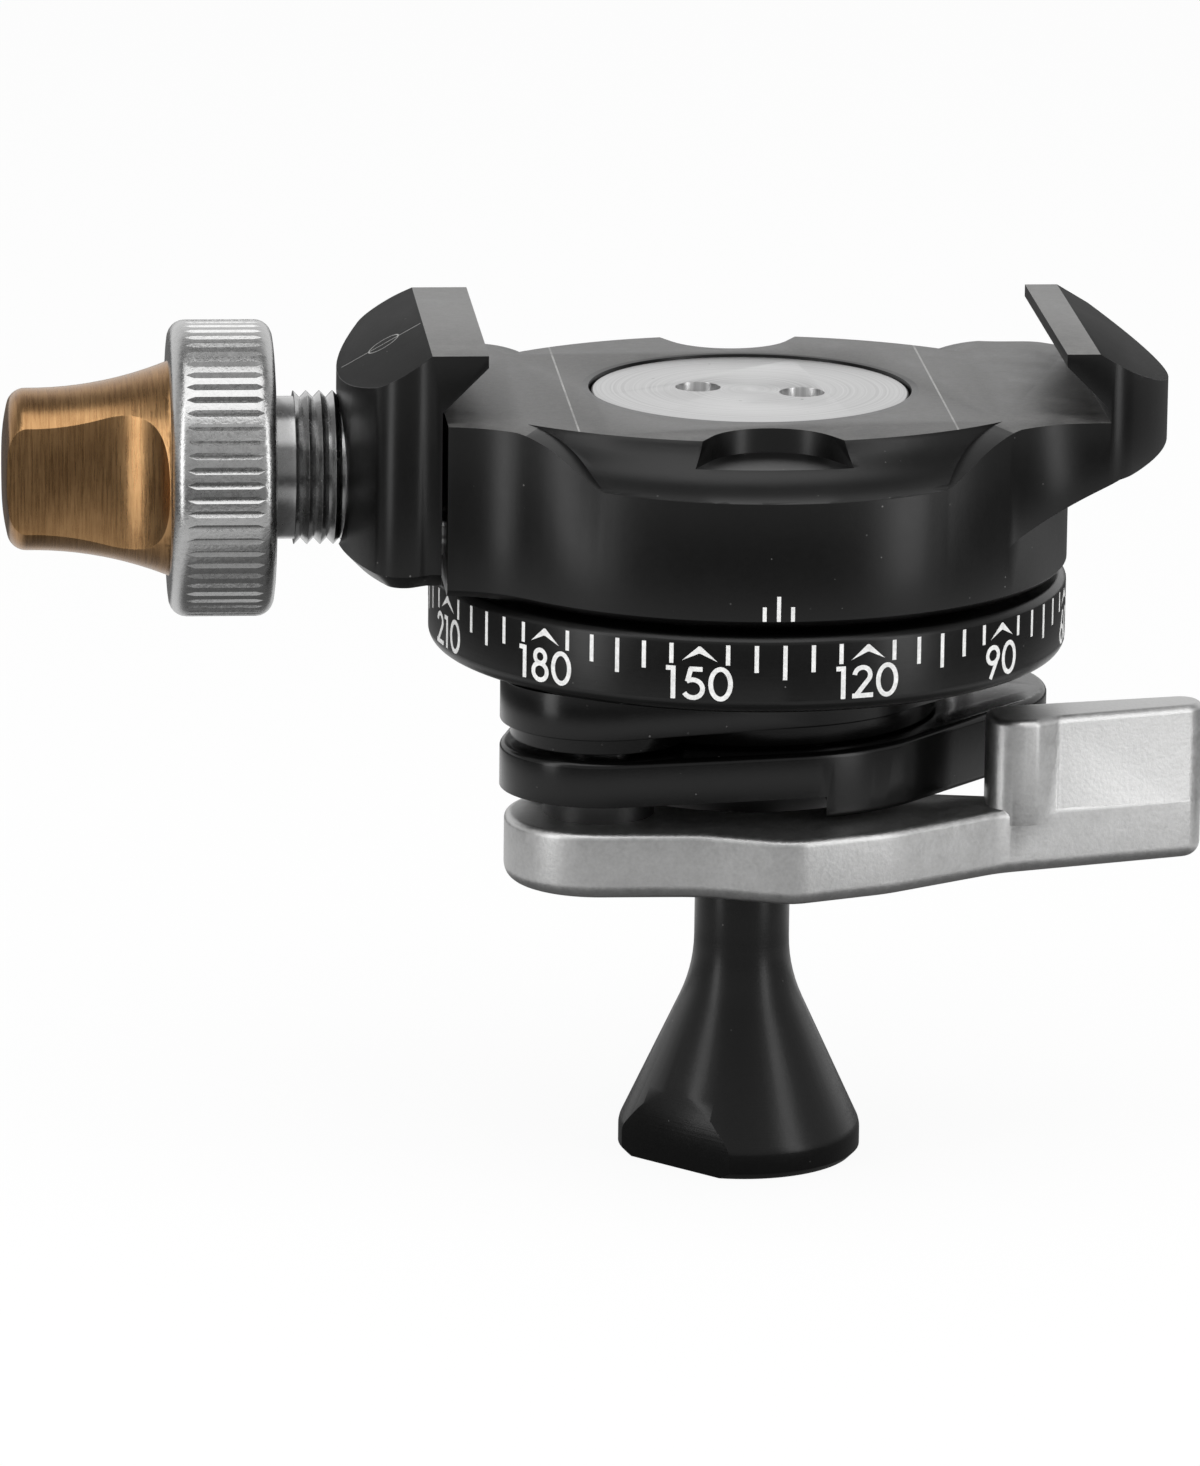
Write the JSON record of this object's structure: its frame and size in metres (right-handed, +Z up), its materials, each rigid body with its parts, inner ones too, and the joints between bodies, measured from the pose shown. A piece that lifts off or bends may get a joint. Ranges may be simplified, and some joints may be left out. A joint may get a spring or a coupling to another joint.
{
  "type": "tripod ball head",
  "caption": "Inverted micro ball head: flared foot with ball neck, lever-locked housing, panning dial base and screw-knob clamp for dovetail camera plates.",
  "frame": {"origin": "centre of the foot's bottom face, at the mouth of the tripod thread", "axes": "+Z up the neck through the ball and the pan axis; +X from the clamp's knob to its fixed jaw; +Y to the back, away from the lever's pivot"},
  "size_m": [0.0694, 0.037, 0.0497],
  "materials": {
    "black_anodised": "satin black anodised",
    "silver_anodised": "bead-blasted clear anodised",
    "bronze_anodised": "brushed bronze anodised",
    "turned_aluminium": "turned and clear anodised",
    "bright_steel": "bright machined",
    "spring_steel": "tempered",
    "bearing_plastic": "low-friction acetal",
    "black_washer": "dusty black"
  },
  "bodies": {
    "stem": {"foot_stem": "black_anodised", "ball_retaining_screw": "bright_steel"},
    "ball": {"ball": "black_anodised"},
    "upper_seat": {"upper_ball_seat": "bearing_plastic"},
    "housing": {"housing": "black_anodised", "dial_ring": "black_anodised", "fulcrum_screw": "bright_steel", "fulcrum_spacer": "bright_steel", "plate_return_spring": "spring_steel", "pan_bearing_ring": "bearing_plastic", "pan_cap": "turned_aluminium"},
    "clamp_plate": {"clamp_plate": "black_anodised", "lower_ball_seat": "bearing_plastic"},
    "lever": {"lever": "silver_anodised", "lever_bolt": "bright_steel", "lever_washer": "black_washer"},
    "clamp": {"clamp_body": "black_anodised", "pan_thrust_washer": "bearing_plastic", "pan_wave_spring": "spring_steel", "screw_retaining_pins": "bright_steel", "jaw_guide_pins": "bright_steel"},
    "knob": {"clamp_screw": "bright_steel", "knob_wheel": "silver_anodised", "knob_grip": "bronze_anodised", "knob_drive_pins": "bright_steel"},
    "jaw": {"movable_jaw": "black_anodised"}
  },
  "joints": [
    {"name": "stem_swivel", "type": "hinge", "parent": "stem", "child": "ball", "pos_m": [0, 0, 0.0285], "axis": [0, 0, 1], "continuous": true},
    {"name": "ball_tilt", "type": "hinge", "parent": "ball", "child": "upper_seat", "pos_m": [0, 0, 0.0285], "axis": [0, 1, 0], "range_deg": [-28, 28]},
    {"name": "head_spin", "type": "hinge", "parent": "upper_seat", "child": "housing", "pos_m": [0, 0, 0.0285], "axis": [0, 0, 1], "continuous": true},
    {"name": "pan", "type": "hinge", "parent": "housing", "child": "clamp", "pos_m": [0, 0, 0.0353], "axis": [0, 0, 1], "continuous": true},
    {"name": "lever_swing", "type": "hinge", "parent": "housing", "child": "lever", "pos_m": [-0.0092, -0.0083, 0.0227], "axis": [0, 0, -1], "range_deg": [0, 55]},
    {"name": "plate_open", "type": "hinge", "parent": "housing", "child": "clamp_plate", "pos_m": [0.0116, 0.0056, 0.02694], "axis": [0.5556, -0.8314, 0], "range_deg": [0, 0.4]},
    {"name": "knob_turn", "type": "hinge", "parent": "clamp", "child": "knob", "pos_m": [-0.0305, 0, 0.04115], "axis": [-1, 0, 0], "range_deg": [0, 1231]},
    {"name": "jaw_slide", "type": "slide", "parent": "clamp", "child": "jaw", "axis": [-1, 0, 0], "range_m": [0, 0.00261]}
  ],
  "couplings": [
    {"joint": "plate_open", "follows": "lever_swing", "ratio": 0.0072},
    {"joint": "jaw_slide", "follows": "knob_turn", "m_per_rad": 0.000121}
  ]
}
